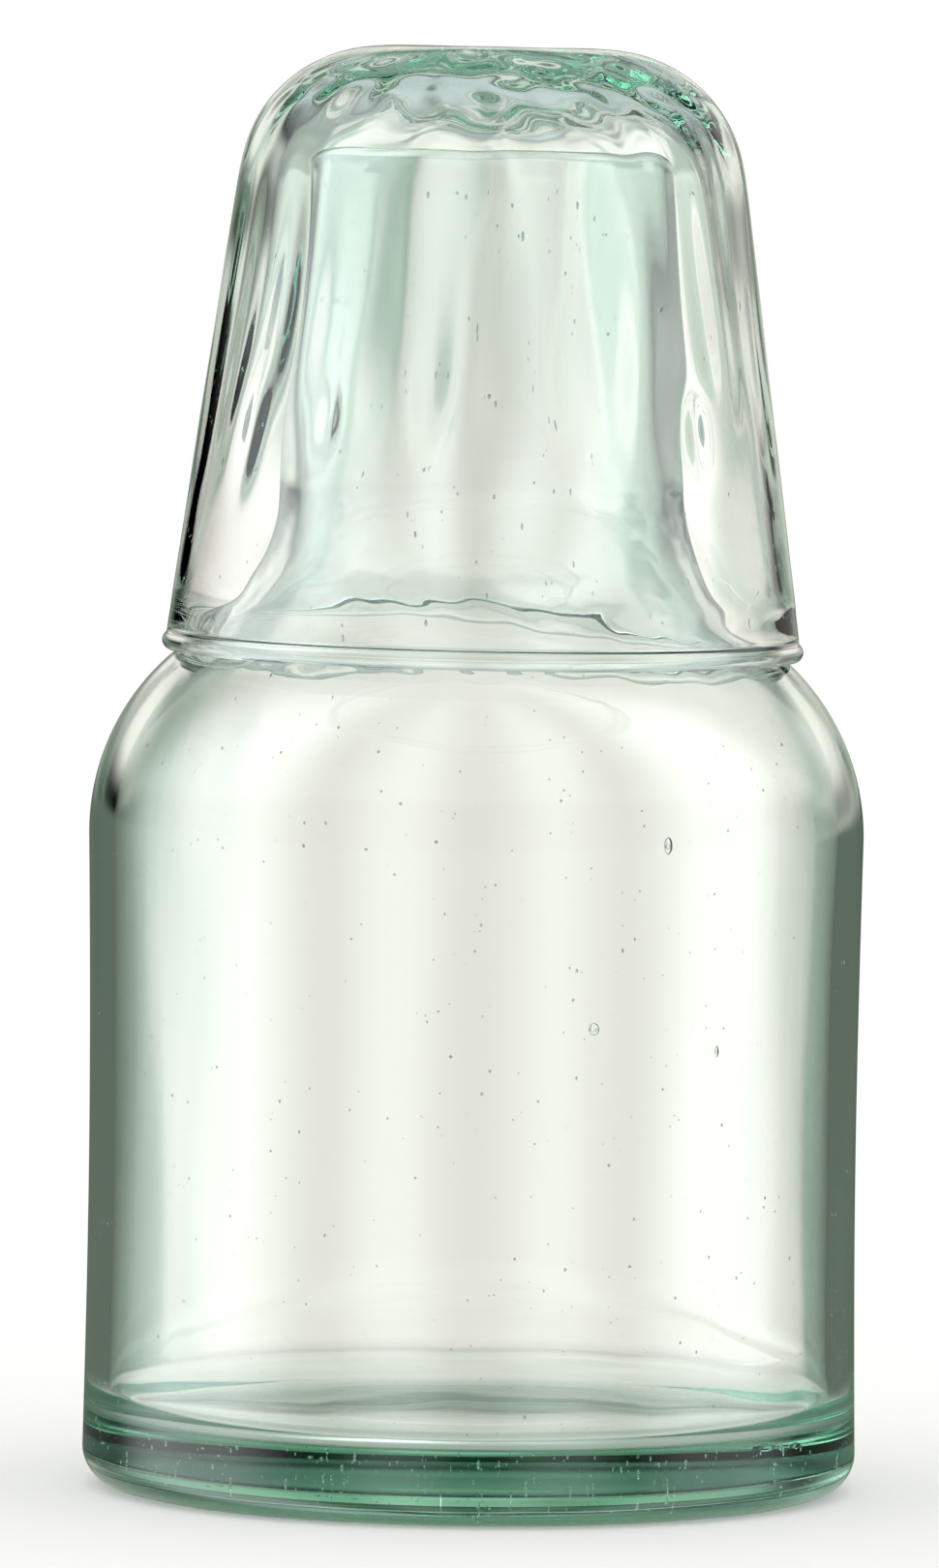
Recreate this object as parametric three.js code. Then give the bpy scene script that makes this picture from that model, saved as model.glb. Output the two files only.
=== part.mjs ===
// Carafe with a tumbler turned over its neck, both blown in thick recycled glass.
// Millimetres, +Z up. The origin is the middle of the carafe's underside.

import * as THREE from 'three';

// Carafe, outside
const bodyRadius = 61; // widest part of the body
const bodyWaist = 0.5; // how far the sides draw in halfway up the body
const footFillet = 6; // rounded edge between the underside and the sides
const shoulderStart = 103.2; // height where the sides start to round inwards
const shoulderRadius = 37; // outward curve of the shoulder
const neckFillet = 33; // hollow curve from the shoulder into the neck
const neckRootRadius = 31.6; // neck where it leaves the hollow curve
const lipRadius = 29.8; // neck just under its lip
const carafeHeight = 211; // underside to the top of the lip

// Carafe, inside
const bodyWall = 3.8;
const neckWall = 3;
const baseThickness = 11.4;
const floorFillet = 5; // rounded corner between the floor and the wall

// Tumbler
const rimInset = 11; // tumbler's outside at the rim, in from the side of the body
const beadRadius = 1.5; // fire-polished bead round the rim
const beadProud = 0.5; // how far the bead stands out of the wall
const rimWall = 1.9; // wall just above the bead
const crownWall = 5; // wall at the closed end, measured between the sharp corners
const crownThickness = 7; // glass between the tumbler's floor and its foot
const crownOuterFillet = 22; // rounded edge of the tumbler's foot
const crownInnerFillet = 16; // rounded corner inside the closed end

// Fits between the two pieces
const seatGap = 0.3; // between the tumbler's bead and the shoulder it rests on
const lipSideGap = 2.3; // lip to the sharp corner of the tumbler's floor, sideways
const lipHeadroom = 9; // lip to the tumbler's floor, upwards

// Glass
const carafeColour = '#cfdfd4';
const tumblerColour = '#c8dbce';
const glassRoughness = 0.04;
const glassOpacity = 0.35;

// Fineness of the turned solids
const turnSteps = 48;
const arcSteps = 8;
const waistSteps = 4;

const quarterTurn = Math.PI / 2;

/** Points along an arc in the outline's plane, between two angles from the outward axis. */
function arcPoints(centre, radius, from, to) {
  const curve = new THREE.EllipseCurve(centre.x, centre.y, radius, radius, from, to, to < from);
  return curve.getPoints(arcSteps);
}

/** Points along a side that runs between two heights and draws in halfway by the body's waist. */
function waistPoints(radius, fromHeight, toHeight) {
  const bendHeight = (fromHeight + toHeight) / 2;
  const curve = new THREE.QuadraticBezierCurve(
    new THREE.Vector2(radius, fromHeight),
    new THREE.Vector2(radius - 2 * bodyWaist, bendHeight),
    new THREE.Vector2(radius, toHeight),
  );
  return curve.getPoints(waistSteps);
}

/** Points of the arc that rounds off a corner between two straight stretches of an outline. */
function roundedCorner(before, corner, after, radius) {
  const back = before.clone().sub(corner).normalize();
  const ahead = after.clone().sub(corner).normalize();
  const halfAngle = Math.acos(back.dot(ahead)) / 2;
  const middle = back.clone().add(ahead).normalize();
  const centre = corner.clone().addScaledVector(middle, radius / Math.sin(halfAngle));
  const reach = radius / Math.tan(halfAngle);
  const start = corner.clone().addScaledVector(back, reach).sub(centre);
  const end = corner.clone().addScaledVector(ahead, reach).sub(centre);
  const from = Math.atan2(start.y, start.x);
  const turn = Math.atan2(start.cross(end), start.dot(end));
  return arcPoints(centre, radius, from, from + turn);
}

/** Centres of the shoulder's outward arc and of the hollow arc above it, and the sweep to where they meet. */
function shoulderCurve(outwardRadius, hollowRadius, neckRadius) {
  const outwardCentre = new THREE.Vector2(bodyRadius - shoulderRadius, shoulderStart);
  const drawnIn = outwardCentre.x + outwardRadius - neckRadius;
  const sweep = Math.acos(1 - drawnIn / (outwardRadius + hollowRadius));
  const hollowCentre = new THREE.Vector2(
    neckRadius + hollowRadius,
    shoulderStart + (outwardRadius + hollowRadius) * Math.sin(sweep),
  );
  return { outwardCentre, hollowCentre, sweep };
}

/** Points along the shoulder's two arcs, from the side of the body to the neck, for one skin of the glass. */
function shoulderPoints(outwardRadius, hollowRadius, neckRadius) {
  const { outwardCentre, hollowCentre, sweep } = shoulderCurve(outwardRadius, hollowRadius, neckRadius);
  return [
    ...arcPoints(outwardCentre, outwardRadius, 0, sweep),
    ...arcPoints(hollowCentre, hollowRadius, Math.PI + sweep, Math.PI).slice(1),
  ];
}

/** Turns a closed outline of radius and height about the +Z axis. */
function turned(outline) {
  return new THREE.LatheGeometry(outline, turnSteps).rotateX(quarterTurn);
}

/** Outline of the carafe, from the middle of its underside up the outside and down the inside. */
function carafeOutline() {
  const innerRadius = bodyRadius - bodyWall;
  const lipBend = neckWall / 2;
  const lipCentre = new THREE.Vector2(lipRadius - lipBend, carafeHeight - lipBend);
  const footCentre = new THREE.Vector2(bodyRadius - footFillet, footFillet);
  const floorCentre = new THREE.Vector2(innerRadius - floorFillet, baseThickness + floorFillet);
  const outerShoulder = shoulderPoints(shoulderRadius, neckFillet, neckRootRadius);
  const innerShoulder = shoulderPoints(
    shoulderRadius - bodyWall,
    neckFillet + neckWall,
    neckRootRadius - neckWall,
  );
  return [
    new THREE.Vector2(0, 0),
    ...arcPoints(footCentre, footFillet, -quarterTurn, 0),
    ...waistPoints(bodyRadius, footFillet, shoulderStart).slice(1, -1),
    ...outerShoulder,
    ...arcPoints(lipCentre, lipBend, 0, Math.PI),
    ...innerShoulder.reverse(),
    ...waistPoints(innerRadius, shoulderStart, floorCentre.y).slice(1, -1),
    ...arcPoints(floorCentre, floorFillet, 0, -quarterTurn),
    new THREE.Vector2(0, baseThickness),
  ];
}

/** Middle of the rim's bead where it rests on the shoulder, on the arc that lies under it. */
function beadCentre() {
  const radius = bodyRadius - rimInset + beadProud - beadRadius;
  const { outwardCentre, hollowCentre, sweep } = shoulderCurve(shoulderRadius, neckFillet, neckRootRadius);
  const outwardReach = shoulderRadius + seatGap + beadRadius;
  const lean = Math.acos((radius - outwardCentre.x) / outwardReach);
  if (lean <= sweep) {
    return new THREE.Vector2(radius, outwardCentre.y + outwardReach * Math.sin(lean));
  }
  const hollowReach = neckFillet - seatGap - beadRadius;
  const drop = Math.sqrt(hollowReach ** 2 - (hollowCentre.x - radius) ** 2);
  return new THREE.Vector2(radius, hollowCentre.y - drop);
}

/** Outline of the tumbler, mouth down: its floor, inside, bead, outside and foot. */
function tumblerOutline() {
  const bead = beadCentre();
  const rimRadius = bodyRadius - rimInset;
  const outerAngle = Math.acos((rimRadius - bead.x) / beadRadius);
  const innerAngle = Math.acos((rimRadius - rimWall - bead.x) / beadRadius);
  const beadPoints = arcPoints(bead, beadRadius, innerAngle, outerAngle + 2 * Math.PI);
  const floorMiddle = new THREE.Vector2(0, carafeHeight + lipHeadroom);
  const floorCorner = new THREE.Vector2(lipRadius + lipSideGap, floorMiddle.y);
  const footMiddle = new THREE.Vector2(0, floorMiddle.y + crownThickness);
  const footCorner = new THREE.Vector2(floorCorner.x + crownWall, footMiddle.y);
  const insideEnd = beadPoints[0];
  const outsideEnd = beadPoints[beadPoints.length - 1];
  return [
    floorMiddle,
    ...roundedCorner(floorMiddle, floorCorner, insideEnd, crownInnerFillet),
    ...beadPoints,
    ...roundedCorner(outsideEnd, footCorner, footMiddle, crownOuterFillet),
    footMiddle,
  ];
}

/** One blown piece with its own glass. */
function glassPiece(name, outline, colour) {
  const glass = new THREE.MeshStandardMaterial({
    color: colour,
    roughness: glassRoughness,
    metalness: 0,
    transparent: true,
    opacity: glassOpacity,
  });
  const piece = new THREE.Mesh(turned(outline), glass);
  piece.name = name;
  return piece;
}

const carafeWithTumbler = new THREE.Group();
carafeWithTumbler.add(glassPiece('carafe', carafeOutline(), carafeColour));
carafeWithTumbler.add(glassPiece('tumbler', tumblerOutline(), tumblerColour));

export default carafeWithTumbler;
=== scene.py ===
"""A carafe with a tumbler turned over its neck, both in seeded recycled glass, on a pale studio floor."""

import logging
import math
from collections.abc import Callable, Sequence
from dataclasses import dataclass
from enum import Enum

import bmesh
import bpy
import numpy as np
from mathutils import Matrix, Vector


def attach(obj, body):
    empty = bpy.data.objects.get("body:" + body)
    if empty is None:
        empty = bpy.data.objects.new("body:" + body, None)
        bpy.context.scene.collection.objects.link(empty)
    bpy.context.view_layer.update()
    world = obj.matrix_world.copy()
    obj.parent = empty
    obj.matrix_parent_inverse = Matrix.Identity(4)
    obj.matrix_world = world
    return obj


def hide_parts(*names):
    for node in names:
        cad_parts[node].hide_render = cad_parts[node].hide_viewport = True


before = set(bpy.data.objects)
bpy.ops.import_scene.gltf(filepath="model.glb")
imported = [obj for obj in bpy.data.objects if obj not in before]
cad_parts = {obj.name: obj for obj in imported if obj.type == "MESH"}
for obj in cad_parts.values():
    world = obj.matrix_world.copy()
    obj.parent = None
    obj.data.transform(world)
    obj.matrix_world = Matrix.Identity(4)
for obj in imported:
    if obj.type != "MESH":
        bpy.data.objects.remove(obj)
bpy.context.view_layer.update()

LOG = logging.getLogger("carafe_with_tumbler")
MM = 0.001
QUARTER_TURN = math.pi / 2
HALF_TURN = math.pi
FULL_TURN = 2 * math.pi
SAME_POINT = 1e-6  # millimetres within which two points of an outline are one
LEVEL_RISE = 1e-9  # millimetres of rise below which a stretch of an outline is level
IMAGE_TALL_PX = 1620


def linear(hex_colour: str) -> tuple[float, float, float]:
    """Turns an sRGB hex colour into linear light.

    Args:
        hex_colour: six hex digits after a hash sign.

    Returns:
        Red, green and blue between 0 and 1.
    """
    parts = [int(hex_colour[i:i + 2], 16) / 255 for i in (1, 3, 5)]
    return tuple(c / 12.92 if c <= 0.04045 else ((c + 0.055) / 1.055) ** 2.4 for c in parts)


def add_node(tree: bpy.types.NodeTree, kind: str, inputs: dict | None = None, **settings) -> bpy.types.Node:
    """Adds a node, with its settings, its socket values and its links.

    Args:
        tree: the node tree that the node goes into.
        kind: the node's type name.
        inputs: sockets by name or number, each with a value or with the output socket that feeds it.
        settings: attributes of the node.

    Returns:
        The new node.
    """
    node = tree.nodes.new(kind)
    for name, value in settings.items():
        setattr(node, name, value)
    for socket, value in (inputs or {}).items():
        if isinstance(value, bpy.types.NodeSocket):
            tree.links.new(value, node.inputs[socket])
        else:
            node.inputs[socket].default_value = value
    return node


class Skin(Enum):
    """Which face of the glass a stretch of an outline belongs to."""

    OUTSIDE = "outside"
    INSIDE = "inside"


class Outline:
    """The line that a piece is turned from, as radius and height in millimetres."""

    def __init__(self) -> None:
        """Starts an outline with no points."""
        self.points: list[tuple[float, float]] = []
        self.skins: list[Skin] = []

    def follow(
        self, path: Callable[[np.ndarray], tuple], length: float, step: float, skin: Skin
    ) -> "Outline":
        """Adds a stretch given by a path.

        Args:
            path: gives radius and height at shares from 0 to 1 of the stretch.
            length: the stretch's length in millimetres.
            step: about how far apart its points are, in millimetres.
            skin: the face of the glass that it belongs to.

        Returns:
            The outline itself.
        """
        shares = np.linspace(0, 1, max(2, round(length / step) + 1))
        radii, heights = path(shares)
        for point in zip(np.broadcast_to(radii, shares.shape), np.broadcast_to(heights, shares.shape)):
            if not self.points or math.dist(point, self.points[-1]) > SAME_POINT:
                self.points.append((float(point[0]), float(point[1])))
                self.skins.append(skin)
        return self

    def line(self, start: tuple, end: tuple, step: float, skin: Skin) -> "Outline":
        """Adds a straight stretch.

        Args:
            start: radius and height where it starts.
            end: radius and height where it ends.
            step: about how far apart its points are.
            skin: the face of the glass that it belongs to.

        Returns:
            The outline itself.
        """
        (r0, z0), (r1, z1) = start, end

        def path(t: np.ndarray) -> tuple:
            """Radius and height along the line."""
            return r0 + (r1 - r0) * t, z0 + (z1 - z0) * t

        return self.follow(path, math.dist(start, end), step, skin)

    def arc(self, centre: tuple, radius: float, turn: tuple, step: float, skin: Skin) -> "Outline":
        """Adds an arc.

        Args:
            centre: radius and height of its middle.
            radius: its radius.
            turn: its first and last angle in radians, from the outward direction.
            step: about how far apart its points are.
            skin: the face of the glass that it belongs to.

        Returns:
            The outline itself.
        """
        start, end = turn

        def path(t: np.ndarray) -> tuple:
            """Radius and height along the arc."""
            angle = start + (end - start) * t
            return centre[0] + radius * np.cos(angle), centre[1] + radius * np.sin(angle)

        return self.follow(path, radius * abs(end - start), step, skin)

    def soften(self, low: float, passes: int) -> "Outline":
        """Eases the bends above a height, as soft glass flows, and leaves the two ends on the axis.

        Args:
            low: the lowest height that is eased.
            passes: how many times each point is drawn towards its neighbours.

        Returns:
            The outline itself.
        """
        line = np.array(self.points)
        free = line[1:-1, 1:] > low
        for _ in range(passes):
            line[1:-1] += np.where(free, (line[:-2] + line[2:] - 2 * line[1:-1]) / 4, 0)
        self.points = [(float(r), float(z)) for r, z in line]
        return self

    def radius_at(self, height: float, skin: Skin) -> float:
        """Finds the widest radius of one skin at a height.

        Args:
            height: the height in millimetres.
            skin: the face of the glass.

        Returns:
            The radius, or 0 where the skin doesn't reach that height.
        """
        points = np.array([p for p, s in zip(self.points, self.skins) if s is skin])
        start, end = points[:-1], points[1:]
        rise = end[:, 1] - start[:, 1]
        below = np.minimum(start[:, 1], end[:, 1]) <= height
        above = np.maximum(start[:, 1], end[:, 1]) >= height
        crossing = below & above & (np.abs(rise) > LEVEL_RISE)
        share = (height - start[crossing, 1]) / rise[crossing]
        radii = start[crossing, 0] + share * (end[crossing, 0] - start[crossing, 0])
        return float(np.max(radii, initial=0.0))


def eased(value: np.ndarray, start: float, end: float) -> np.ndarray:
    """Rises smoothly from 0 at start to 1 at end."""
    share = np.clip((value - start) / (end - start), 0, 1)
    return share * share * (3 - 2 * share)


@dataclass(frozen=True)
class Ripple:
    """Smooth unevenness of one skin, left by blowing, as a seeded random relief.

    The relief is a sum of waves, each about as long as the two sizes say. It covers heights between low and
    high, and folded makes its valleys sharp, as where the glass chilled and wrinkled.
    """

    skin: Skin
    seed: int
    across: float
    along: float
    depth: float
    low: float = -math.inf
    high: float = math.inf
    fade: float = 4.0
    folded: bool = False
    waves: int = 40
    spread: float = 0.25

    def offset(self, points: np.ndarray) -> np.ndarray:
        """Works out the relief.

        Args:
            points: points of the skin, in millimetres.

        Returns:
            How far the skin stands out at each of them, in millimetres.
        """
        random = np.random.default_rng(self.seed)
        heading = random.uniform(0, FULL_TURN, self.waves)
        around = random.normal(1.0, self.spread, self.waves) * FULL_TURN / self.across
        upward = random.normal(0.0, 1.0, self.waves) * FULL_TURN / self.along
        phase = random.uniform(0, FULL_TURN, self.waves)
        relief = np.zeros(points.shape[:-1])
        for h, a, u, p in zip(heading, around, upward, phase):
            level = math.cos(h) * points[..., 0] + math.sin(h) * points[..., 1]
            relief += np.cos(a * level + u * points[..., 2] + p)
        relief *= math.sqrt(2 / self.waves)
        if self.folded:
            relief = 1 - np.abs(relief)
        for edge, sense in ((self.low, 1), (self.high, -1)):
            if math.isfinite(edge):
                relief = relief * eased(sense * (points[..., 2] - edge), 0, self.fade)
        return self.depth * relief


@dataclass(frozen=True)
class Dimple:
    """A round or oval hollow in one skin, by its bearing round the axis in degrees and its height."""

    skin: Skin
    bearing: float
    height: float
    wide: float
    tall: float
    depth: float

    def offset(self, points: np.ndarray) -> np.ndarray:
        """Works out the relief.

        Args:
            points: points of the skin, in millimetres.

        Returns:
            How far the skin stands out at each of them, in millimetres.
        """
        radius = np.hypot(points[..., 0], points[..., 1])
        turn = np.arctan2(points[..., 1], points[..., 0]) - math.radians(self.bearing)
        swing = np.angle(np.exp(1j * turn))
        sideways = 2 * radius * swing / self.wide
        upwards = 2 * (points[..., 2] - self.height) / self.tall
        return -self.depth * np.exp(-(sideways ** 2 + upwards ** 2))


Relief = Ripple | Dimple


@dataclass(frozen=True)
class Bubble:
    """One bubble in the wall, flattened by the blowing, by its bearing in degrees and its height."""

    bearing: float
    height: float
    wide: float
    tall: float
    radius: float | None = None
    flatness: float = 0.35

    def shell(self, ball: np.ndarray, outline: Outline) -> np.ndarray:
        """Points of the bubble's wall.

        Args:
            ball: points of a ball of radius 1.
            outline: the outline of the piece that holds the bubble.

        Returns:
            The points, in millimetres. A bubble with no radius of its own lies halfway through the wall.
        """
        skins = [outline.radius_at(self.height, skin) for skin in Skin]
        radius = sum(skins) / 2 if self.radius is None else self.radius
        size = np.array([self.wide * self.flatness, self.wide, self.tall])
        local = ball * size / 2 + np.array([radius, 0, self.height])
        return local @ np.array(Matrix.Rotation(math.radians(self.bearing), 3, "Z")).T


@dataclass(frozen=True)
class Seeds:
    """Fine bubbles trapped in the glass, drawn out upwards where it was stretched.

    Each keeps a clearance from the two skins. In solid glass they keep a margin from the side, and reach no
    farther from the axis than reach says.
    """

    seed: int
    count: int
    low: float
    high: float
    finest: float = 0.15
    coarsest: float = 0.5
    stretch: tuple[float, float] = (1.0, 1.6)
    flatness: float = 0.8
    clearance: float = 0.35
    side_margin: float = 3.0
    reach: float = math.inf

    def bubbles(self, outline: Outline) -> list[Bubble]:
        """Scatters the seeds through the glass.

        Args:
            outline: the outline of the piece that holds them.

        Returns:
            The seeds.
        """
        random = np.random.default_rng(self.seed)
        found = []
        while len(found) < self.count:
            height = random.uniform(self.low, self.high)
            bearing = random.uniform(-180, 180)
            share = random.random()
            wide = self.finest * (self.coarsest / self.finest) ** (random.random() ** 2)
            tall = wide * random.uniform(*self.stretch)
            outer = outline.radius_at(height, Skin.OUTSIDE)
            inner = outline.radius_at(height, Skin.INSIDE)
            clear = wide / 2 + self.clearance
            if outer - inner < 2 * clear:
                continue
            if inner > 0:
                radius = inner + clear + share * (outer - inner - 2 * clear)
            else:
                radius = min(outer - self.side_margin, self.reach) * math.sqrt(share)
            found.append(Bubble(bearing, height, wide, tall, radius, self.flatness))
        return found


@dataclass(frozen=True)
class RecycledGlass:
    """Blown recycled soda-lime glass, fire-polished.

    Iron in the melt leaves it clear where it is thin and sea green where light runs a long way in it, and the
    blowing leaves soft upright cords that bend what is seen through it. Sizes are in millimetres. The mould
    mark is the roughness of the underside, up to a height that the fire didn't reach.
    """

    name: str
    left_after_100mm: str
    ior: float = 1.52
    mould_mark: float = 0.0
    mould_mark_top: float = 1.2
    mould_mark_fade: float = 0.6
    cord_spacing: float = 7.0
    cord_length: float = 90.0
    cord_relief: float = 0.012
    cord_detail: float = 2.0
    cord_roughness: float = 0.45

    def material(self) -> bpy.types.Material:
        """Makes the material.

        Returns:
            The material, with the glass's body colour in its volume.
        """
        material = bpy.data.materials.new(self.name)
        material.use_nodes = True
        tree = material.node_tree
        tree.nodes.clear()
        place = add_node(tree, "ShaderNodeTexCoord")
        upright = (1, 1, self.cord_spacing / self.cord_length)
        stretched = add_node(tree, "ShaderNodeMapping", {0: place.outputs["Object"], "Scale": upright})
        cords = add_node(
            tree,
            "ShaderNodeTexNoise",
            {
                "Vector": stretched.outputs[0],
                "Scale": 1 / (self.cord_spacing * MM),
                "Detail": self.cord_detail,
                "Roughness": self.cord_roughness,
            },
        )
        bump = add_node(
            tree,
            "ShaderNodeBump",
            {"Height": cords.outputs[0], "Strength": 1.0, "Distance": self.cord_relief * MM},
        )
        height = add_node(tree, "ShaderNodeSeparateXYZ", {0: place.outputs["Object"]})
        matt = add_node(
            tree,
            "ShaderNodeMapRange",
            {
                "Value": height.outputs[2],
                "From Min": self.mould_mark_top * MM,
                "From Max": (self.mould_mark_top - self.mould_mark_fade) * MM,
                "To Max": self.mould_mark,
            },
        )
        surface = add_node(
            tree,
            "ShaderNodeBsdfPrincipled",
            {
                "Base Color": (1, 1, 1, 1),
                "Roughness": matt.outputs[0] if self.mould_mark else 0.0,
                "IOR": self.ior,
                "Transmission Weight": 1.0,
                "Normal": bump.outputs[0],
            },
        )
        loss = [-math.log(c) / (100 * MM) for c in linear(self.left_after_100mm)]
        density = max(loss)
        body = add_node(
            tree,
            "ShaderNodeVolumeAbsorption",
            {"Color": (*[1 - k / density for k in loss], 1), "Density": density},
        )
        add_node(tree, "ShaderNodeOutputMaterial", {"Surface": surface.outputs[0], "Volume": body.outputs[0]})
        return material


@dataclass(kw_only=True)
class TurnedGlass:
    """A piece of glass turned about the upright axis, with the unevenness and bubbles of hand blowing."""

    name: str
    body: str
    slot: str
    glass: RecycledGlass
    turn_steps: int
    reliefs: Sequence[Relief] = ()
    seeds: Sequence[Seeds] = ()
    bubbles: Sequence[Bubble] = ()
    bubble_fineness: int = 3
    seed_fineness: int = 1

    def outline(self) -> Outline:
        """The outline that the piece is turned from, in millimetres."""
        raise NotImplementedError

    def settled(self, points: np.ndarray, inside: np.ndarray) -> np.ndarray:
        """Moves the finished surface to where it lies on the real piece.

        Args:
            points: the surface's points, in millimetres.
            inside: which of them are on the inner skin.

        Returns:
            The moved points.
        """
        return points

    def surface(self) -> tuple[np.ndarray, list]:
        """Turns the outline and adds the reliefs.

        Returns:
            The points in millimetres, and the faces.
        """
        outline = self.outline()
        line = np.array(outline.points)
        inside = np.array([skin is Skin.INSIDE for skin in outline.skins])
        along = np.gradient(line, axis=0)
        normal = np.stack([along[:, 1], -along[:, 0]], axis=1)
        normal /= np.linalg.norm(normal, axis=1, keepdims=True)
        normal[0] = (0, math.copysign(1, normal[0, 1]))
        normal[-1] = (0, math.copysign(1, normal[-1, 1]))
        bearing = np.arange(self.turn_steps) * FULL_TURN / self.turn_steps
        spoke = np.stack([np.cos(bearing), np.sin(bearing)], axis=1)

        def turned(flat: np.ndarray) -> np.ndarray:
            """Sweeps radius and height round the axis."""
            level = flat[:, None, :1] * spoke[None]
            return np.concatenate([level, np.broadcast_to(flat[:, None, 1:], (*level.shape[:2], 1))], axis=2)

        points, outward = turned(line), turned(normal)
        offset = np.zeros(points.shape[:2])
        for relief in self.reliefs:
            rows = inside if relief.skin is Skin.INSIDE else ~inside
            offset[rows] += relief.offset(points[rows]) * (1 if relief.skin is Skin.OUTSIDE else -1)
        inner_points = np.repeat(inside[:, None], self.turn_steps, axis=1)
        return self.joined(self.settled(points + outward * offset[..., None], inner_points))

    def joined(self, points: np.ndarray) -> tuple[np.ndarray, list]:
        """Joins the rings into a closed skin, with one point where an end meets the axis.

        Args:
            points: rings of points from one end of the outline to the other.

        Returns:
            The points, and the faces.
        """
        steps = self.turn_steps
        rings = points[1:-1]
        first, last = points[0].mean(axis=0), points[-1].mean(axis=0)
        flat = np.concatenate([rings.reshape(-1, 3), first[None], last[None]])
        here = np.arange(steps)
        after = (here + 1) % steps
        faces = []
        for ring in range(len(rings) - 1):
            low, high = ring * steps, (ring + 1) * steps
            faces += np.stack([low + here, low + after, high + after, high + here], axis=1).tolist()
        top = (len(rings) - 1) * steps
        faces += [(len(flat) - 2, int(b), int(a)) for a, b in zip(here, after)]
        faces += [(len(flat) - 1, top + int(a), top + int(b)) for a, b in zip(here, after)]
        return flat, faces

    def trapped(self) -> list[tuple[np.ndarray, list]]:
        """The walls of every bubble, facing into the bubble because the glass lies outside it.

        Returns:
            The points in millimetres and the faces of each.
        """
        outline = self.outline()
        shells = []
        fine = [bubble for seeds in self.seeds for bubble in seeds.bubbles(outline)]
        for fineness, bubbles in ((self.bubble_fineness, self.bubbles), (self.seed_fineness, fine)):
            ball = bmesh.new()
            bmesh.ops.create_icosphere(ball, subdivisions=fineness, radius=1)
            ball.verts.index_update()
            points = np.array([v.co for v in ball.verts])
            walls = [[v.index for v in reversed(f.verts)] for f in ball.faces]
            ball.free()
            shells += [(bubble.shell(points, outline), walls) for bubble in bubbles]
        return shells

    def build(self) -> bpy.types.Object:
        """Makes the piece, dresses it and sets it on its body.

        Returns:
            The finished object.
        """
        points, faces = self.surface()
        stack, total = [points], len(points)
        shells = self.trapped()
        for shell, walls in shells:
            stack.append(self.settled(shell, np.zeros(len(shell), bool)))
            faces += [[i + total for i in wall] for wall in walls]
            total += len(shell)
        mesh = bpy.data.meshes.new(self.name)
        mesh.from_pydata((np.concatenate(stack) * MM).tolist(), [], faces)
        mesh.polygons.foreach_set("use_smooth", np.ones(len(faces), bool))
        mesh.materials.append(self.glass.material())
        mesh.update()
        piece = bpy.data.objects.new(self.name, mesh)
        bpy.context.scene.collection.objects.link(piece)
        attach(piece, self.body)
        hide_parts(self.body)
        LOG.info("%s: %d faces, %d bubbles", self.name, len(faces), len(shells))
        return piece


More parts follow.
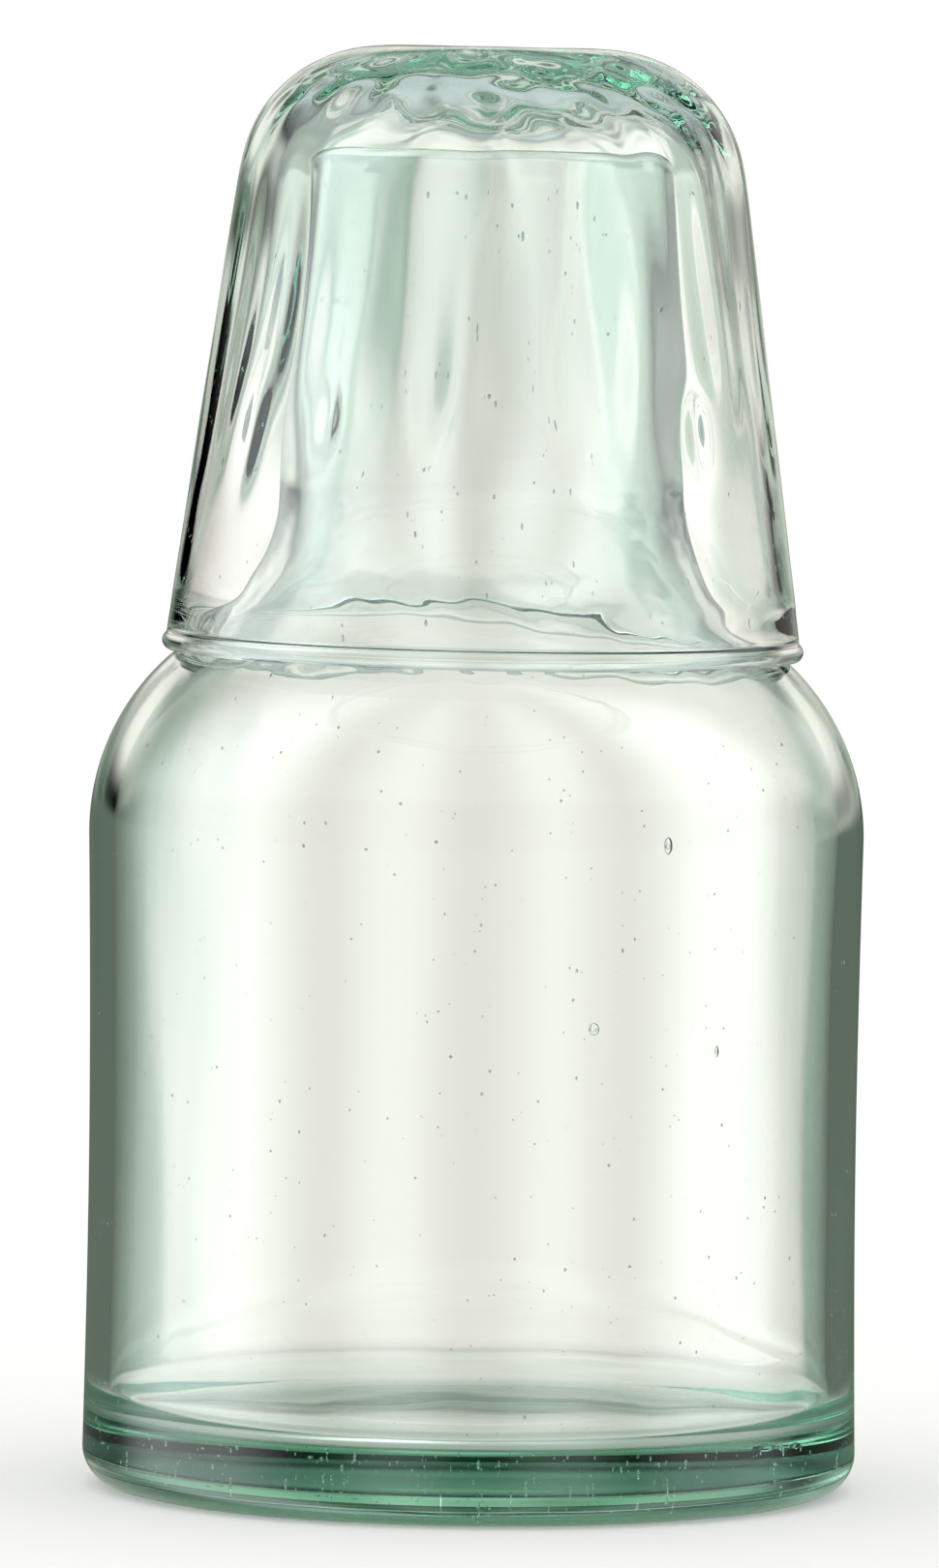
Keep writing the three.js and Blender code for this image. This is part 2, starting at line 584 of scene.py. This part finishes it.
@dataclass(kw_only=True)
class Carafe(TurnedGlass):
    """The carafe: a thick base, straight sides, a round shoulder and a tall neck."""

    name: str = "carafe_blown"
    body: str = "carafe"
    slot: str = "carafe_glass"
    turn_steps: int = 224
    body_radius: float = 61.0
    waist: float = 0.5
    foot_fillet: float = 6.0
    stand_radius: float = 50.0
    underside_recess: float = 0.35
    scar_radius: float = 18.5
    scar_edge: float = 2.0
    scar_depth: float = 0.5
    shoulder_start: float = 103.2
    shoulder_radius: float = 37.0
    neck_fillet: float = 33.0
    neck_root_radius: float = 31.6
    lip_radius: float = 29.8
    full_height: float = 211.0
    lip_wall: float = 3.6
    lip_wobble: float = 0.3
    lip_waves: tuple[int, ...] = (2, 3, 5, 9)
    wobble_from: float = 194.0
    wobble_full: float = 208.0
    body_wall: float = 3.8
    neck_wall: float = 3.0
    base_thickness: float = 11.4
    floor_fillet: float = 5.0
    side_step: float = 2.0
    shoulder_step: float = 1.2
    underside_step: float = 1.0
    stand_step: float = 1.5
    foot_step: float = 0.6
    lip_step: float = 0.5
    corner_step: float = 0.8

    def shoulder(self, line: Outline, radii: tuple[float, float, float], skin: Skin, upward: bool) -> float:
        """Adds the shoulder's outward arc and the hollow arc into the neck.

        Args:
            line: the outline that they are added to.
            radii: the outward arc, the hollow arc and the neck above them.
            skin: the face of the glass.
            upward: whether the outline runs up the piece or down.

        Returns:
            The height where the hollow arc meets the neck.
        """
        outward, hollow, neck = radii
        centre = (self.body_radius - self.shoulder_radius, self.shoulder_start)
        sweep = math.acos(1 - (centre[0] + outward - neck) / (outward + hollow))
        above = (neck + hollow, centre[1] + (outward + hollow) * math.sin(sweep))
        stretches = [(centre, outward, (0.0, sweep)), (above, hollow, (HALF_TURN + sweep, HALF_TURN))]
        for middle, radius, turn in stretches if upward else reversed(stretches):
            line.arc(middle, radius, turn if upward else turn[::-1], self.shoulder_step, skin)
        return above[1]

    def outline(self) -> Outline:
        """The outline, from the middle of the underside up the outside and down the inside."""
        line = Outline()
        side, inner = self.body_radius, self.body_radius - self.body_wall
        bend = self.lip_wall / 2
        lip = (self.lip_radius - bend, self.full_height - bend)
        foot = (side - self.foot_fillet, self.foot_fillet)
        corner = (inner - self.floor_fillet, self.base_thickness + self.floor_fillet)
        stand, scar = self.stand_radius, self.scar_radius

        def waisted(radius: float, start: float, end: float) -> Callable[[np.ndarray], tuple]:
            """The path of a side that draws in halfway."""
            return lambda t: (radius - 4 * self.waist * t * (1 - t), start + (end - start) * t)

        def underside(t: np.ndarray) -> tuple:
            """The underside from its middle to where it stands."""
            bowl = self.underside_recess * np.cos(t * QUARTER_TURN) ** 2
            outside_scar = eased(stand * t, scar - self.scar_edge, scar + self.scar_edge)
            return stand * t, bowl + self.scar_depth * (1 - outside_scar)

        line.follow(underside, stand, self.underside_step, Skin.OUTSIDE)
        line.line((stand, 0), (foot[0], 0), self.stand_step, Skin.OUTSIDE)
        line.arc(foot, self.foot_fillet, (-QUARTER_TURN, 0), self.foot_step, Skin.OUTSIDE)
        straight = self.shoulder_start - foot[1]
        line.follow(waisted(side, foot[1], self.shoulder_start), straight, self.side_step, Skin.OUTSIDE)
        outer_radii = (self.shoulder_radius, self.neck_fillet, self.neck_root_radius)
        self.shoulder(line, outer_radii, Skin.OUTSIDE, upward=True)
        line.line(line.points[-1], (self.lip_radius, lip[1]), self.side_step, Skin.OUTSIDE)
        line.arc(lip, bend, (0, HALF_TURN), self.lip_step, Skin.OUTSIDE)
        inner_radii = (
            self.shoulder_radius - self.body_wall,
            self.neck_fillet + self.neck_wall,
            self.neck_root_radius - self.neck_wall,
        )
        probe = Outline()
        neck_foot = (inner_radii[2], self.shoulder(probe, inner_radii, Skin.INSIDE, upward=True))
        line.line(line.points[-1], neck_foot, self.side_step, Skin.INSIDE)
        self.shoulder(line, inner_radii, Skin.INSIDE, upward=False)
        line.follow(waisted(inner, self.shoulder_start, corner[1]), straight, self.side_step, Skin.INSIDE)
        line.arc(corner, self.floor_fillet, (0, -QUARTER_TURN), self.corner_step, Skin.INSIDE)
        line.line((corner[0], self.base_thickness), (0, self.base_thickness), self.side_step, Skin.INSIDE)
        return line

    def settled(self, points: np.ndarray, inside: np.ndarray) -> np.ndarray:
        """Makes the lip uneven, and flattens the underside where it stands.

        Args:
            points: the surface's points, in millimetres.
            inside: which of them are on the inner skin; not used here.

        Returns:
            The moved points.
        """
        moved = points.copy()
        bearing = np.arctan2(points[..., 1], points[..., 0])
        wobble = sum(np.cos(n * bearing + n * n) / math.sqrt(n) for n in self.lip_waves)
        moved[..., 2] += self.lip_wobble * wobble * eased(points[..., 2], self.wobble_from, self.wobble_full)
        moved[..., 2] = np.maximum(moved[..., 2], 0)
        return moved


@dataclass(kw_only=True)
class Tumbler(TurnedGlass):
    """The tumbler, mouth down: a fire-polished bead, tapering sides and a thick closed end."""

    name: str = "tumbler_blown"
    body: str = "tumbler"
    slot: str = "tumbler_glass"
    turn_steps: int = 288
    rim_radius: float = 50.0
    bead_radius: float = 1.5
    bead_middle: tuple[float, float] = (49.0, 132.87)
    bead_cut: float = 0.8
    bead_clear: float = 2.0
    rim_wall: float = 2.0
    thick_wall: float = 4.8
    step_low: float = 140.0
    step_high: float = 198.0
    floor_height: float = 220.0
    floor_fillet: float = 16.0
    floor_rise: float = -0.5
    foot_height: float = 227.0
    foot_radius: float = 37.1
    foot_fillet: float = 22.0
    soft_from: float = 160.0
    soft_passes: int = 30
    inner_shift: float = -0.7
    thick_shift: float = 0.6
    lean: float = 0.5
    slip: float = 0.6
    wall_step: float = 1.0
    floor_step: float = 0.7
    foot_step: float = 0.8
    bead_step: float = 0.3

    def outer_radius(self, height: np.ndarray) -> np.ndarray:
        """The outside of the tapering wall at a height, before the closed end rounds over."""
        share = (height - self.bead_middle[1]) / (self.foot_height - self.bead_middle[1])
        return self.rim_radius + (self.foot_radius - self.rim_radius) * share

    def wall(self, height: np.ndarray) -> np.ndarray:
        """The wall's thickness at a height."""
        thickened = eased(height, self.step_low, self.step_high)
        return self.rim_wall + (self.thick_wall - self.rim_wall) * thickened

    def outline(self) -> Outline:
        """The outline, from the middle of the floor down the inside and up the outside to the foot."""
        line = Outline()
        bead_r, bead_z = self.bead_middle
        start = bead_z + self.bead_radius * self.bead_cut
        taper = math.atan2(self.rim_radius - self.foot_radius, self.foot_height - bead_z)
        floor, fillet, rise = self.floor_height, self.floor_fillet, self.floor_rise
        wall_top = floor - fillet * (1 - math.sin(taper))
        corner_r = float(self.outer_radius(np.array(wall_top)) - self.wall(np.array(wall_top)))
        corner = (corner_r - fillet * math.cos(taper), floor - fillet)

        def floor_line(t: np.ndarray) -> tuple:
            """The floor from its middle to the corner."""
            return corner[0] * t, floor + rise * (1 - np.sin(t * QUARTER_TURN) ** 2)

        line.follow(floor_line, corner[0], self.floor_step, Skin.INSIDE)
        line.arc(corner, fillet, (QUARTER_TURN, taper), self.floor_step, Skin.INSIDE)
        low, high = start, line.points[-1][1]

        def inside_wall(t: np.ndarray) -> tuple:
            """The inner skin from the closed end down to the bead."""
            height = high + (low - high) * t
            return self.outer_radius(height) - self.wall(height), height

        line.follow(inside_wall, high - low, self.wall_step, Skin.INSIDE)
        in_angle = math.atan2(start - bead_z, line.points[-1][0] - bead_r)
        out_angle = math.atan2(start - bead_z, float(self.outer_radius(np.array(start))) - bead_r)
        bead_turn = (in_angle, out_angle + FULL_TURN)
        line.arc(self.bead_middle, self.bead_radius, bead_turn, self.bead_step, Skin.OUTSIDE)
        fillet = self.foot_fillet
        reach = fillet * math.tan((QUARTER_TURN - taper) / 2)
        bend_r = self.foot_radius - reach
        round_over = (bend_r, self.foot_height - fillet)
        turn_end = (bend_r + fillet * math.cos(taper), round_over[1] + fillet * math.sin(taper))
        line.line((float(self.outer_radius(np.array(start))), start), turn_end, self.wall_step, Skin.OUTSIDE)
        line.arc(round_over, fillet, (taper, QUARTER_TURN), self.foot_step, Skin.OUTSIDE)
        line.line(line.points[-1], (0, self.foot_height), self.wall_step, Skin.OUTSIDE)
        return line.soften(self.soft_from, self.soft_passes)

    def settled(self, points: np.ndarray, inside: np.ndarray) -> np.ndarray:
        """Shifts the inner skin sideways, and leans the tumbler as it sits on the shoulder.

        Args:
            points: the surface's points, in millimetres.
            inside: which of them are on the inner skin.

        Returns:
            The moved points.
        """
        moved = points.copy()
        height = points[..., 2]
        clear_of_bead = eased(height, self.bead_middle[1] + self.bead_clear, self.step_low)
        thickened = eased(height, self.step_low, self.step_high)
        shift = self.inner_shift * clear_of_bead * (1 - thickened) + self.thick_shift * thickened
        moved[..., 0] += np.where(inside, shift, 0)
        pivot = np.array([0, 0, self.bead_middle[1]])
        turn = np.array(Matrix.Rotation(math.radians(self.lean), 3, "Y"))
        return (moved - pivot) @ turn.T + pivot + np.array([self.slip, 0, 0])


class Paper(Enum):
    """The colour that a card or box of the studio shows to the glass."""

    ROSE = "#ffe0e6"
    WHITE = "#f7feff"
    SAGE = "#e7ffe7"
    CREAM = "#fffbf2"


@dataclass(frozen=True)
class LightCard:
    """A soft card round the object, as the glass sees it.

    Bearings and rises are in degrees. The card has one brightness for light that comes straight through the
    glass and one for light that the glass mirrors, because what is mirrored stands nearer to the lamps.
    """

    name: str
    paper: Paper
    bearing: float = 90.0
    half_width: float = 200.0
    edge: float = 1.0
    low: float = -90.0
    high: float = 90.0
    fade: float = 4.0
    through: float = 0.0
    mirrored: float = 0.0

    def shape(
        self, tree: bpy.types.NodeTree, bearing: bpy.types.NodeSocket, rise: bpy.types.NodeSocket
    ) -> bpy.types.NodeSocket:
        """Works out how much of the card lies in a direction.

        Args:
            tree: the world's node tree.
            bearing: the direction's bearing in degrees.
            rise: the direction's rise over the level in degrees.

        Returns:
            A socket that is 1 on the card and eases to 0 past its edges.
        """
        offset = add_node(tree, "ShaderNodeMath", {0: bearing, 1: self.bearing}, operation="SUBTRACT")
        turn = add_node(tree, "ShaderNodeMath", {0: offset.outputs[0], 1: 180.0, 2: -180.0}, operation="WRAP")
        swing = add_node(tree, "ShaderNodeMath", {0: turn.outputs[0]}, operation="ABSOLUTE")
        edges = [(swing.outputs[0], self.half_width + self.edge, self.half_width - self.edge)]
        if self.low > -90:
            edges.append((rise, self.low - self.fade, self.low + self.fade))
        if self.high < 90:
            edges.append((rise, self.high + self.fade, self.high - self.fade))
        amount = 1.0
        for value, start, end in edges:
            reach = {"Value": value, "From Min": start, "From Max": end, "To Max": amount}
            amount = add_node(tree, "ShaderNodeMapRange", reach, interpolation_type="SMOOTHSTEP").outputs[0]
        return amount


# How far each kind of card reaches, in degrees of rise over the level
SCREEN_RISE = {"low": -9.0, "high": 25.0}
GLOW_RISE = {"low": -1.4, "high": 7.0, "fade": 1.0}
TABLE_RISE = {"high": -10.0, "fade": 3.0}
WALL_RISE = {"high": 65.0, "fade": 20.0}


@dataclass
class Studio:
    """A pale floor in a white room, with soft boxes and cards that only the glass sees."""

    floor_colour: str = "#f4f4f2"
    floor_radius: float = 3.0
    floor_segments: int = 96
    floor_drop: float = 0.0001
    floor_white: float = 1.02
    walls_crossed: int = 32
    mirrorings: int = 16
    cards: Sequence[LightCard] = (
        LightCard(
            "rear screen", Paper.ROSE, bearing=88.7, half_width=7.8, edge=3.5,
            through=0.6, **SCREEN_RISE,
        ),
        LightCard(
            "rear wall", Paper.SAGE, bearing=88, half_width=32, edge=26,
            through=0.44, **SCREEN_RISE,
        ),
        LightCard("dim rear room", Paper.SAGE, high=0, fade=1, through=0.05, mirrored=0.16),
        LightCard(
            "glow left of the neck", Paper.CREAM, bearing=116, half_width=14, edge=7,
            through=0.5, **GLOW_RISE,
        ),
        LightCard(
            "glow right of the neck", Paper.CREAM, bearing=58, half_width=25, edge=9,
            through=0.45, mirrored=0.3, **GLOW_RISE,
        ),
        LightCard(
            "glow behind the neck", Paper.SAGE, half_width=18, edge=6,
            low=-1.4, high=4, fade=1, mirrored=0.3,
        ),
        LightCard(
            "lit rear band", Paper.CREAM, half_width=42, edge=8,
            low=6, high=20, through=0.2, mirrored=1.05,
        ),
        LightCard(
            "rear upper wall", Paper.WHITE, half_width=32, edge=22,
            low=26, fade=6, through=0.7, mirrored=0.75,
        ),
        LightCard(
            "rear table", Paper.CREAM, half_width=50, edge=15,
            through=0.8, mirrored=0.35, **TABLE_RISE,
        ),
        LightCard(
            "front table", Paper.WHITE, bearing=-90, half_width=130, edge=15,
            through=0.8, mirrored=0.4, **TABLE_RISE,
        ),
        LightCard(
            "ceiling", Paper.WHITE, bearing=-90, half_width=100, edge=20,
            low=65, fade=20, through=0.7, mirrored=0.6,
        ),
        LightCard("left wall", Paper.WHITE, bearing=190, half_width=40, edge=12, through=0.8, **WALL_RISE),
        LightCard("left box", Paper.WHITE, bearing=-180, half_width=26, edge=16, mirrored=2.5, **WALL_RISE),
        LightCard("left fill", Paper.WHITE, bearing=-112, half_width=12, edge=10, mirrored=1.1, **WALL_RISE),
        LightCard("right fill", Paper.WHITE, bearing=-62, half_width=12, edge=10, mirrored=1.05, **WALL_RISE),
        LightCard("right box", Paper.WHITE, bearing=-8, half_width=22, edge=14, mirrored=1.25, **WALL_RISE),
    )

    def world(self) -> None:
        """Lights the room: white to the camera and the floor, soft boxes and cards to the glass."""
        world = bpy.data.worlds.new("studio")
        world.use_nodes = True
        world.cycles.sampling_method = "NONE"
        bpy.context.scene.world = world
        tree = world.node_tree
        tree.nodes.clear()
        place = add_node(tree, "ShaderNodeTexCoord")
        axes = add_node(tree, "ShaderNodeSeparateXYZ", {0: place.outputs["Generated"]})
        turn = add_node(tree, "ShaderNodeMath", {0: axes.outputs[1], 1: axes.outputs[0]}, operation="ARCTAN2")
        bearing = add_node(tree, "ShaderNodeMath", {0: turn.outputs[0]}, operation="DEGREES")
        lean = add_node(tree, "ShaderNodeMath", {0: axes.outputs[2]}, operation="ARCSINE")
        rise = add_node(tree, "ShaderNodeMath", {0: lean.outputs[0]}, operation="DEGREES")
        through = mirrored = (0.0, 0.0, 0.0)
        for card in self.cards:
            shape = card.shape(tree, bearing.outputs[0], rise.outputs[0])
            paper = Vector(linear(card.paper.value))
            if card.through:
                layer = {0: shape, 1: paper * card.through, 2: through}
                through = add_node(tree, "ShaderNodeVectorMath", layer, operation="MULTIPLY_ADD").outputs[0]
            if card.mirrored:
                layer = {0: shape, 1: paper * card.mirrored, 2: mirrored}
                mirrored = add_node(tree, "ShaderNodeVectorMath", layer, operation="MULTIPLY_ADD").outputs[0]
        path = add_node(tree, "ShaderNodeLightPath")
        seen = add_node(
            tree,
            "ShaderNodeMix",
            {"Factor": path.outputs["Glossy Depth"], "A": through, "B": mirrored},
            data_type="RGBA",
        )
        glass = {0: path.outputs["Is Glossy Ray"], 1: path.outputs["Is Transmission Ray"]}
        by_glass = add_node(tree, "ShaderNodeMath", glass, operation="ADD", use_clamp=True)
        other = {0: path.outputs["Is Camera Ray"], 1: path.outputs["Diffuse Depth"]}
        by_other = add_node(tree, "ShaderNodeMath", other, operation="ADD", use_clamp=True)
        share = {0: by_glass.outputs[0], 1: by_other.outputs[0]}
        dressed = add_node(tree, "ShaderNodeMath", share, operation="SUBTRACT", use_clamp=True)
        room = add_node(
            tree,
            "ShaderNodeMix",
            {"Factor": dressed.outputs[0], "A": (1, 1, 1, 1), "B": seen.outputs["Result"]},
            data_type="RGBA",
        )
        background = add_node(tree, "ShaderNodeBackground", {"Color": room.outputs["Result"]})
        add_node(tree, "ShaderNodeOutputWorld", {0: background.outputs[0]})

    def floor(self) -> bpy.types.Object:
        """Makes the pale floor.

        Returns:
            The floor.
        """
        plate = bmesh.new()
        bmesh.ops.create_circle(plate, cap_ends=True, segments=self.floor_segments, radius=self.floor_radius)
        mesh = bpy.data.meshes.new("floor")
        plate.to_mesh(mesh)
        plate.free()
        # Uncoated matt white card scatters light evenly, so it shows nothing but the object's soft shadow.
        # The camera sees it lifted to white, so that it runs into the room with no edge.
        material = bpy.data.materials.new("matt_white_card")
        material.use_nodes = True
        tree = material.node_tree
        tree.nodes.clear()
        colour = linear(self.floor_colour)
        card = add_node(tree, "ShaderNodeBsdfDiffuse", {"Color": (*colour, 1)})
        path = add_node(tree, "ShaderNodeLightPath")
        missing = {0: path.outputs["Is Camera Ray"], 1: self.floor_white - min(colour)}
        glow = add_node(tree, "ShaderNodeMath", missing, operation="MULTIPLY")
        lift = add_node(tree, "ShaderNodeEmission", {"Strength": glow.outputs[0]})
        both = add_node(tree, "ShaderNodeAddShader", {0: card.outputs[0], 1: lift.outputs[0]})
        add_node(tree, "ShaderNodeOutputMaterial", {"Surface": both.outputs[0]})
        mesh.materials.append(material)
        floor = bpy.data.objects.new("floor", mesh)
        floor.location.z = -self.floor_drop
        floor.visible_glossy = False
        floor.visible_transmission = False
        bpy.context.scene.collection.objects.link(floor)
        return floor

    def build(self) -> None:
        """Sets the room up, with enough bounces for light to cross every wall of glass."""
        self.world()
        self.floor()
        cycles = bpy.context.scene.cycles
        cycles.max_bounces = cycles.transmission_bounces = self.walls_crossed
        cycles.glossy_bounces = self.mirrorings
        bpy.context.scene.view_settings.view_transform = "Standard"
        LOG.info("studio: %d cards", len(self.cards))


@dataclass
class PhotoCamera:
    """The camera at the photograph's viewing angle, in metres and degrees."""

    distance: float = 2.0
    height: float = 0.232
    aim: tuple[float, float, float] = (-0.0012, 0.0, 0.111)
    roll: float = 0.75
    pixels_per_mm: float = 6.557
    sensor_mm: float = 36.0

    def build(self) -> bpy.types.Object:
        """Makes the camera and makes it the scene's own.

        Returns:
            The camera.
        """
        lens = bpy.data.cameras.new("photo_camera")
        camera = bpy.data.objects.new("photo_camera", lens)
        aim = Vector(self.aim)
        camera.location = (aim.x, -self.distance, self.height)
        away = aim - camera.location
        lens.sensor_width = self.sensor_mm
        lens.lens = self.sensor_mm * self.pixels_per_mm * away.length / MM / IMAGE_TALL_PX
        turn = away.to_track_quat("-Z", "Y").to_matrix() @ Matrix.Rotation(math.radians(self.roll), 3, "Z")
        camera.rotation_euler = turn.to_euler()
        bpy.context.scene.collection.objects.link(camera)
        bpy.context.scene.camera = camera
        LOG.info("camera: %.0f mm lens at %.2f m", lens.lens, away.length)
        return camera


def carafe() -> Carafe:
    """The carafe with its own unevenness and bubbles."""
    return Carafe(
        glass=RecycledGlass("recycled_glass_carafe", left_after_100mm="#86c0a5", mould_mark=0.35),
        reliefs=(
            Ripple(Skin.INSIDE, seed=3, across=24, along=200, depth=0.03, low=16),
            Ripple(Skin.INSIDE, seed=4, across=11, along=120, depth=0.008, low=16),
            Ripple(Skin.OUTSIDE, seed=5, across=34, along=120, depth=0.03, low=12),
            Ripple(Skin.INSIDE, seed=8, across=7, along=5, depth=0.012, low=124, high=166, fade=8),
            Ripple(Skin.INSIDE, seed=6, across=30, along=30, depth=0.02, high=17),
            Ripple(Skin.OUTSIDE, seed=7, across=26, along=26, depth=0.03, high=4),
        ),
        seeds=(
            Seeds(seed=11, count=700, low=14, high=125),
            Seeds(seed=12, count=110, low=125, high=205, stretch=(1.5, 4.0)),
            Seeds(seed=13, count=420, low=2.0, high=9.5, stretch=(1.0, 4.0), reach=58.0),
        ),
        bubbles=(
            Bubble(bearing=-60.5, height=105.0, wide=1.4, tall=2.6),
            Bubble(bearing=-72.0, height=77.0, wide=1.7, tall=1.9, flatness=0.2),
            Bubble(bearing=-51.0, height=73.0, wide=0.8, tall=1.8),
        ),
    )


def tumbler() -> Tumbler:
    """The tumbler with its own unevenness and bubbles."""
    return Tumbler(
        glass=RecycledGlass("recycled_glass_tumbler", left_after_100mm="#86bfa6"),
        reliefs=(
            Ripple(Skin.INSIDE, seed=23, across=24, along=90, depth=0.07, low=140),
            Ripple(Skin.OUTSIDE, seed=24, across=30, along=80, depth=0.06, low=138),
            Ripple(Skin.OUTSIDE, seed=25, across=16, along=10, depth=0.01, low=216, fade=5, folded=True),
            Ripple(Skin.INSIDE, seed=26, across=9, along=7, depth=0.12, low=214, fade=5),
            Ripple(Skin.INSIDE, seed=27, across=10, along=400, depth=0.12, low=156, fade=22),
            Dimple(Skin.INSIDE, bearing=-147, height=166, wide=5, tall=15, depth=0.8),
            Dimple(Skin.INSIDE, bearing=-125, height=169, wide=3.4, tall=10, depth=0.5),
            Dimple(Skin.INSIDE, bearing=-42, height=168, wide=4, tall=11, depth=0.45),
            Dimple(Skin.INSIDE, bearing=35, height=167, wide=5, tall=12, depth=0.6),
            Dimple(Skin.INSIDE, bearing=104, height=170, wide=4, tall=12, depth=0.35),
        ),
        seeds=(
            Seeds(seed=31, count=170, low=138, high=205, stretch=(1.5, 4.5)),
            Seeds(seed=32, count=40, low=221.5, high=225, reach=14.0),
        ),
    )


def main() -> None:
    """Builds the room, the camera and the two pieces, and notes the sizes."""
    logging.basicConfig(level=logging.INFO, format="%(name)s: %(message)s")
    Studio().build()
    PhotoCamera().build()
    for piece in (carafe(), tumbler()):
        piece.build()


if __name__ == "__main__":
    main()
